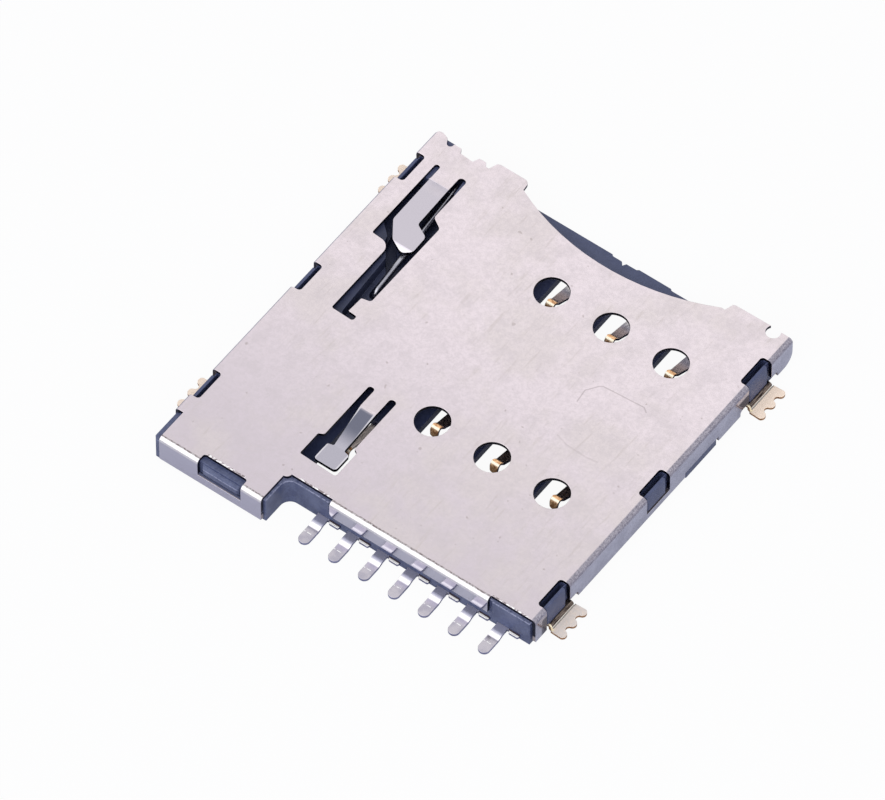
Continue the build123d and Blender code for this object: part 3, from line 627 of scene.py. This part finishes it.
def makeContactMetal(look):
    f = Finish(bpy.data.materials.new("contactMetal"))
    x, y, z = f.axes()
    grain = f.noise(*look["grain"])
    streak = f.noise(*look["streaks"])
    tin = f.mix(f.noise(*look["clouds"]).ramp(0.38, 0.66), look["tin"], look["tinDull"])
    # painted highlight on the tails' bends
    tin = f.mix(z.ramp(*look["bendRise"]) * (y < look["bendEnd"]), tin, look["tinBendHighlight"])
    root = z.ramp(*look["rootRise"]) * (y < look["tailEnd"]) * (z < look["rootTop"])
    # painted shade at the roots
    tin = f.mix(root, tin, look["tinRootShade"])
    toStub = x.repeat(look["firstStub"], look["tailPitch"])
    stub = (toStub < look["stubHalf"]) * (y < look["tailEnd"])
    # painted highlight on the stubs and painted shade on their backs
    tin = f.mix(stub, tin, f.mix(y.ramp(*look["stubTurn"]), look["stub"], look["stubBackShade"]))
    # painted highlight: a small bright line on each tail
    spark = (y - look["sparkY"]).size().fall(*look["sparkEdge"])
    spark = spark * toStub.between(*look["sparkSides"])
    tin = f.mix(spark * grain.ramp(0.38, 0.46), tin, white)
    # painted shade on the front arms and painted light on the rear ones
    arm = f.mix(y.ramp(*look["armPales"]), look["armFrontShade"], look["armRearLight"])
    arm = f.mix(streak.ramp(0.4, 0.6) * 0.4, arm, look["armFrontShade"])
    arm = f.mix(z.ramp(*look["neckRise"]), arm, look["neck"])
    # painted light on the switch contact's strip
    detect = (x < look["detectSide"]) * z.ramp(*look["armRise"])
    arm = f.mix(detect, arm, look["detect"])
    colour = f.mix(z.ramp(*look["armRise"]), tin, arm)
    before, after = look["tipReach"]
    gold = f.mix(grain.ramp(0.4, 0.6), look["goldDeep"], look["gold"])
    tips = 0.0
    for tipY in look["tipRows"]:
        tips = y.between(tipY - before, tipY + after) * (z > look["tipLow"]) + tips
        gold = f.mix((y - tipY + 0.02).size().fall(*look["shineEdge"]), gold, look["goldShine"])
    colour = f.mix(tips, colour, gold)
    matt = stub + detect * (1 - tips) + look["mattTip"] * tips
    matt = matt + look["mattRoot"] * root * (1 - stub)
    roughness = look["roughness"] + 0.08 * streak + 0.35 * matt
    inputs = {"Base Color": colour, "Metallic": 1 - 0.85 * matt, "Roughness": roughness}
    return f.surface(inputs, streak, *look["bump"])


tabLook = {
    # matt flash plating: the foot is nearly as pale as its own colour from every side
    "flat": screen(255, 230, 208),
    "flatGrey": screen(216, 204, 198),
    "stain": screen(244, 214, 188),
    "staining": 0.45,
    # painted highlight along the bend of each foot
    "bend": screen(255, 250, 242),
    "bendRise": (0.118, 0.124),
    "web": screen(132, 118, 110),
    "webStripe": screen(34, 28, 30),
    "webRise": (0.175, 0.190),
    "rootEdge": (right + 0.115, right + 0.14),
    "glint": screen(255, 240, 206),
    "glints": (front + 2.30, front + 13.78),
    "glintEdge": (0.03, 0.07),
    "glintRise": (0.10, 0.12),
    "glintSide": right + 0.17,
    "grain": (8.0, 3.0, 0.65),
    "stripes": (26.0, 3.0, 0.7, (1.0, 0.10, 1.0)),
    "roughness": 0.30,
    "bump": (0.2, 0.0008),
}


def makeTabMetal(look):
    f = Finish(bpy.data.materials.new("tabMetal"))
    x, y, z = f.axes()
    grain = f.noise(*look["grain"])
    stripe = f.noise(*look["stripes"])
    # the front right foot is greyer than the others
    flat = f.mix((x > 0) * (y < 0), look["flat"], look["flatGrey"])
    flat = f.mix(grain.ramp(0.42, 0.72) * look["staining"], flat, look["stain"])
    # painted shade: a dark line on the foot where it meets the web
    flat = f.mix(x.size().fall(*look["rootEdge"]), flat, look["webStripe"])
    web = f.mix(stripe.ramp(0.40, 0.62), look["web"], look["webStripe"])
    onWeb = z.ramp(*look["webRise"])
    # painted highlight on the bend
    colour = f.mix(z.ramp(*look["bendRise"]), flat, look["bend"])
    colour = f.mix(onWeb, colour, web)
    glint = 0.0
    for place in look["glints"]:
        glint = (y - place).size().fall(*look["glintEdge"]) + glint
    glint = glint * z.ramp(*look["glintRise"]) * (x.size() < look["glintSide"])
    colour = f.mix(glint, colour, look["glint"])
    metallic = 0.15 + 0.8 * onWeb * (1 - glint)
    roughness = look["roughness"] + 0.14 * grain
    inputs = {"Base Color": colour, "Metallic": metallic, "Roughness": roughness}
    return f.surface(inputs, grain, *look["bump"])


wireLooks = {
    "pinSteel": {"pale": screen(196, 196, 206), "dark": screen(140, 140, 152)},
    "springSteel": {"pale": screen(180, 180, 186), "dark": screen(130, 130, 138)},
}


def makeWire(name, look):
    f = Finish(bpy.data.materials.new(name))
    streak = f.noise(5.0, 2.0, 0.6, (1.0, 0.1, 1.0))
    colour = f.mix(streak.ramp(0.35, 0.7), look["pale"], look["dark"])
    inputs = {"Base Color": colour, "Metallic": 1.0, "Roughness": 0.24 + 0.12 * streak}
    return f.surface(inputs, streak, 0.3, 0.002)


shellSteel = makeShellSteel(shellLook)
contactMetal = makeContactMetal(contactLook)
tabMetal = makeTabMetal(tabLook)
cuts = {name: makeCutMetal(name, look) for name, look in cutLooks.items()}
wires = {name: makeWire(name, look) for name, look in wireLooks.items()}
housingPlastic = makePlastic("housingPlastic", housingLook)
sliderPlastic = makePlastic("sliderPlastic", sliderLook)
print("finishes made")

studioLook = {
    "paper": (0.66, 0.67, 0.73, 1.0),
    "floorHeight": -0.02,  # mm, just under the tails
    "cameraWhite": 0.95,  # how much of the paper a camera ray sees as plain white
    "glossyWhite": 0.10,  # the same for what shows in metal
    "sky": (0.96, 0.97, 1.0, 1.0),
    "skyLight": 0.66,
    "window": (-0.353, -0.620, 0.701),  # towards the brighter side of the light tent
    "windowEdge": (0.715, 0.800),
    "windowLight": 1.6,
}


def backgroundRays(f):
    # the rays that see the background: camera, glossy and see-through
    names = ("Is Camera Ray", "Is Glossy Ray", "Is Transmission Ray")
    return [f.node("ShaderNodeLightPath", output=name) for name in names]


def makeFloor(look):
    data = bpy.data.meshes.new("studioFloor")
    work = bmesh.new()
    bmesh.ops.create_grid(work, x_segments=4, y_segments=4, size=3.0)
    work.to_mesh(data)
    work.free()
    floor = bpy.data.objects.new("studioFloor", data)
    bpy.context.scene.collection.objects.link(floor)
    floor.location.z = look["floorHeight"] * mm
    f = Finish(bpy.data.materials.new("studioPaper"))
    camera, glossy, through = backgroundRays(f)
    paper = f.node("ShaderNodeBsdfDiffuse", {}, {"Color": look["paper"]})
    plain = f.node("ShaderNodeEmission", {}, {"Color": white, "Strength": 1.0})
    factor = (camera + through) * look["cameraWhite"] + glossy * look["glossyWhite"]
    shader = f.node("ShaderNodeMixShader", {}, {0: factor, 1: paper, 2: plain})
    f.node("ShaderNodeOutputMaterial", {}, {"Surface": shader})
    data.materials.append(f.owner)


def makeSky(look):
    bpy.context.scene.world = bpy.data.worlds.new("studioSky")
    f = Finish(bpy.context.scene.world)
    camera, glossy, through = backgroundRays(f)
    direction = f.node("ShaderNodeTexCoord", output="Generated")
    aim = {0: direction, 1: look["window"]}
    aim = f.node("ShaderNodeVectorMath", {"operation": "DOT_PRODUCT"}, aim, "Value")
    light, plain, window = [
        f.node("ShaderNodeBackground", {}, {"Color": colour, "Strength": strength})
        for colour, strength in (
            (look["sky"], look["skyLight"]), (white, 1.0), (white, look["windowLight"]),
        )
    ]
    tent = {0: aim.ramp(*look["windowEdge"]), 1: plain, 2: window}
    tent = f.node("ShaderNodeMixShader", {}, tent)
    shader = {0: camera + glossy + through, 1: light, 2: tent}
    shader = f.node("ShaderNodeMixShader", {}, shader)
    f.node("ShaderNodeOutputWorld", {}, {"Surface": shader})


makeFloor(studioLook)
makeSky(studioLook)
print("studio made")

meshPlan = {
    "weld": 0.0002,  # mm between points that are one
    "flatTurn": 0.6,  # degrees within which the CAD's triangles are one face
    "bevelTurn": 0.1,
    "smoothTurn": 35.0,  # degrees over which an edge is sharp
    "cutWidth": 0.6,  # area over rim length of a sheared edge, in sheet thicknesses
    "sameSide": 0.64,  # cosine within which faces at a corner share its normal
    "wideShare": 0.4,  # faces narrower than this share of the widest don't count
}
smoothTurn = math.radians(meshPlan["smoothTurn"])


def isSharp(edge):
    return edge.calc_face_angle(0) >= smoothTurn


def smoothGroups(work):
    # faces that run on into each other without a sharp edge
    groups, known = [], set()
    for first in work.faces:
        if first in known:
            continue
        known.add(first)
        group, waiting = [], [first]
        while waiting:
            face = waiting.pop()
            group.append(face)
            for edge in face.edges:
                if isSharp(edge):
                    continue
                for other in edge.link_faces:
                    if other not in known:
                        known.add(other)
                        waiting.append(other)
        groups.append(group)
    return groups


def markCutEdges(work, gauge):
    # a band no wider than the sheet is a sheared edge and gets the second material
    for group in smoothGroups(work):
        area = sum(face.calc_area() for face in group)
        rim = sum(edge.calc_length() for face in group for edge in face.edges if isSharp(edge))
        if rim and area / rim < meshPlan["cutWidth"] * gauge * mm:
            for face in group:
                face.material_index = 1


def settleNormals(data):
    # each corner follows the widest face beside it, so flats stay flat and bends stay round
    normals = [face.normal.copy() for face in data.polygons]
    areas = [face.area for face in data.polygons]
    around = [[] for vertex in data.vertices]
    for face in data.polygons:
        for vertex in face.vertices:
            around[vertex].append(face.index)
    sameSide = meshPlan["sameSide"]
    settled = []
    for face in data.polygons:
        own = normals[face.index]
        for vertex in face.vertices:
            near = [other for other in around[vertex] if normals[other].dot(own) > sameSide]
            widest = max((areas[other] for other in near), default=0)
            total = Vector((0, 0, 0))
            for other in near:
                if areas[other] > meshPlan["wideShare"] * widest:
                    total += normals[other] * areas[other]
            settled.append(total.normalized() if total.length else own)
    data.shade_smooth()
    data.normals_split_custom_set(settled)


def mergeFlats(work, degrees):
    bmesh.ops.dissolve_limit(
        work, angle_limit=math.radians(degrees), verts=work.verts, edges=work.edges,
        delimit={"NORMAL", "MATERIAL"},
    )


def fromNode(node, plan):
    # the CAD solid with merged faces, sheared edges marked and corners rounded
    work = bmesh.new()
    work.from_mesh(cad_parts[node].data)
    bmesh.ops.remove_doubles(work, verts=work.verts, dist=meshPlan["weld"] * mm)
    mergeFlats(work, meshPlan["flatTurn"])
    for face in work.faces:
        face.material_index = 0
    if "gauge" in plan:
        markCutEdges(work, plan["gauge"])
    wide = [face for face in work.faces if len(face.verts) > 4]
    bmesh.ops.triangulate(work, faces=wide, quad_method="BEAUTY", ngon_method="BEAUTY")
    corners = [edge for edge in work.edges if isSharp(edge)]
    bmesh.ops.bevel(
        work, geom=corners, offset=plan["rounding"] * mm, offset_type="OFFSET", segments=2,
        profile=0.5, affect="EDGES", clamp_overlap=False, material=0, loop_slide=False,
    )
    mergeFlats(work, meshPlan["bevelTurn"])
    # a rounded corner stays inside the solid's own box
    low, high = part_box(node)
    for corner in work.verts:
        corner.co = [min(max(c, a), b) for c, a, b in zip(corner.co, low, high)]
    data = bpy.data.meshes.new(plan["name"])
    work.to_mesh(data)
    work.free()
    settleNormals(data)
    return data


def addPiece(data, node, plan):
    piece = bpy.data.objects.new(plan["name"], data)
    bpy.context.scene.collection.objects.link(piece)
    for material in plan["materials"]:
        data.materials.append(material)
    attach(piece, plan["body"])
    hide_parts(node)
    print("piece", plan["name"])
    return piece


# rounding of the corners and gauge of the sheet in millimetres
stampedContact = {
    "body": "socket", "slot": "contact_plating",
    "materials": [contactMetal, cuts["contactCut"]], "rounding": 0.012, "gauge": 0.12,
}
stampedTab = {
    "body": "socket", "slot": "tab_plating",
    "materials": [tabMetal, cuts["tabCut"]], "rounding": 0.012, "gauge": 0.12,
}
pieces = {
    "shell": {
        "name": "shellCover", "body": "socket", "slot": "shell_steel",
        "materials": [shellSteel, cuts["shellCut"]], "rounding": 0.014, "gauge": 0.15,
    },
    "housing": {
        "name": "housingFrame", "body": "socket", "slot": "housing_plastic",
        "materials": [housingPlastic], "rounding": 0.022,
    },
    "cam_slider": {
        "name": "camSlider", "body": "slider", "slot": "slider_plastic",
        "materials": [sliderPlastic], "rounding": 0.018,
    },
    "follower_pin": {
        "name": "followerPin", "body": "pin", "slot": "pin_steel",
        "materials": [wires["pinSteel"]], "rounding": 0.012,
    },
    "detect_contact": {"name": "detectContact", **stampedContact},
}
for number in ("c1", "c2", "c3", "c5", "c6", "c7"):
    pieces[f"contact_{number}"] = {"name": f"contactStrip_{number}", **stampedContact}
for end in ("front", "rear"):
    for side in ("left", "right"):
        pieces[f"solder_tab_{end}_{side}"] = {"name": f"boardTab_{end}_{side}", **stampedTab}

for node, plan in pieces.items():
    addPiece(fromNode(node, plan), node, plan)

springPlan = {
    "name": "ejectSpring",
    "body": "socket",
    "slot": "spring_steel",
    "materials": [wires["springSteel"]],
    "wire": 0.13,
    "turns": 8,
    "deadTurns": 0.8,  # closed coil at each end
    "closedPitch": 1.05,  # in wire thicknesses
    "stepsPerTurn": 26,
    "sides": 10,
    "travel": 4.2,
    "seat": -7.305,  # end that stays put
}


def coilMesh(plan, low, high):
    # round wire along a coil that closes up at both ends
    wire = plan["wire"] / 2
    centre = Vector(((low[0] + high[0]) / 2, 0, (low[2] + high[2]) / 2))
    radius = (high[2] - low[2]) / 2 - wire
    start, end = low[1] + wire, high[1] - wire
    closed = plan["wire"] * plan["closedPitch"]
    steps = int(plan["turns"] * plan["stepsPerTurn"])
    loose = plan["turns"] - 2 * plan["deadTurns"]
    pitch = (end - start - 2 * plan["deadTurns"] * closed) / loose
    work = bmesh.new()
    rings = []
    for step in range(steps + 1):
        turn = plan["turns"] * step / steps
        y = start + closed * min(turn, plan["deadTurns"])
        y += pitch * min(max(turn - plan["deadTurns"], 0), loose)
        y += closed * max(turn - plan["deadTurns"] - loose, 0)
        a = 2 * math.pi * turn
        out = Vector((math.cos(a), 0, math.sin(a)))
        ring = []
        for side in range(plan["sides"]):
            b = 2 * math.pi * side / plan["sides"]
            spot = centre + out * (radius + wire * math.cos(b))
            spot.y = y + wire * math.sin(b)
            ring.append(work.verts.new(spot * mm))
        rings.append(ring)
    for ring, following in zip(rings, rings[1:]):
        for side in range(plan["sides"]):
            after = (side + 1) % plan["sides"]
            work.faces.new((ring[side], ring[after], following[after], following[side]))
    work.faces.new(rings[0][::-1])
    work.faces.new(rings[-1])
    bmesh.ops.recalc_face_normals(work, faces=work.faces)
    data = bpy.data.meshes.new(plan["name"])
    work.to_mesh(data)
    work.free()
    settleNormals(data)
    return data


springLow, springHigh = [[c / mm for c in corner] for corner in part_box("eject_spring")]
spring = addPiece(coilMesh(springPlan, springLow, springHigh), "eject_spring", springPlan)
keep = 1 - springPlan["travel"] / (springHigh[1] - springPlan["seat"])
springPlan["seat"] * mm
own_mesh(spring)
